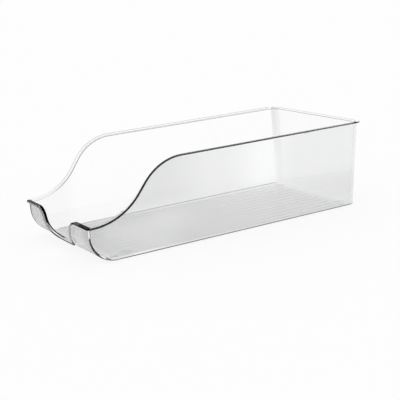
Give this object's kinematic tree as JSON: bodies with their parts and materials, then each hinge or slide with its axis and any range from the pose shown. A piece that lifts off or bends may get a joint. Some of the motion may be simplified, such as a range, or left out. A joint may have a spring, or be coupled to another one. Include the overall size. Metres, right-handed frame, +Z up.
{
  "type": "can organizer",
  "caption": "Open clear plastic bin that stores drink cans on a shelf, with swept side walls, a low rolled front with a finger notch, a rim all round and ribs on the floor.",
  "frame": {"origin": "on the shelf, under the middle of the bin's outer box", "axes": "+X across the bin, +Y from the notched front to the back, +Z up"},
  "size_m": [0.16, 0.335, 0.095],
  "materials": {
    "clear_plastic": "clear, polished injection moulding",
    "pad_rubber": "clear soft anti-slip pad"
  },
  "bodies": {
    "root": {"moulded_bin": "clear_plastic", "pad_front_left": "pad_rubber", "pad_front_right": "pad_rubber", "pad_rear_left": "pad_rubber", "pad_rear_right": "pad_rubber"}
  },
  "joints": []
}
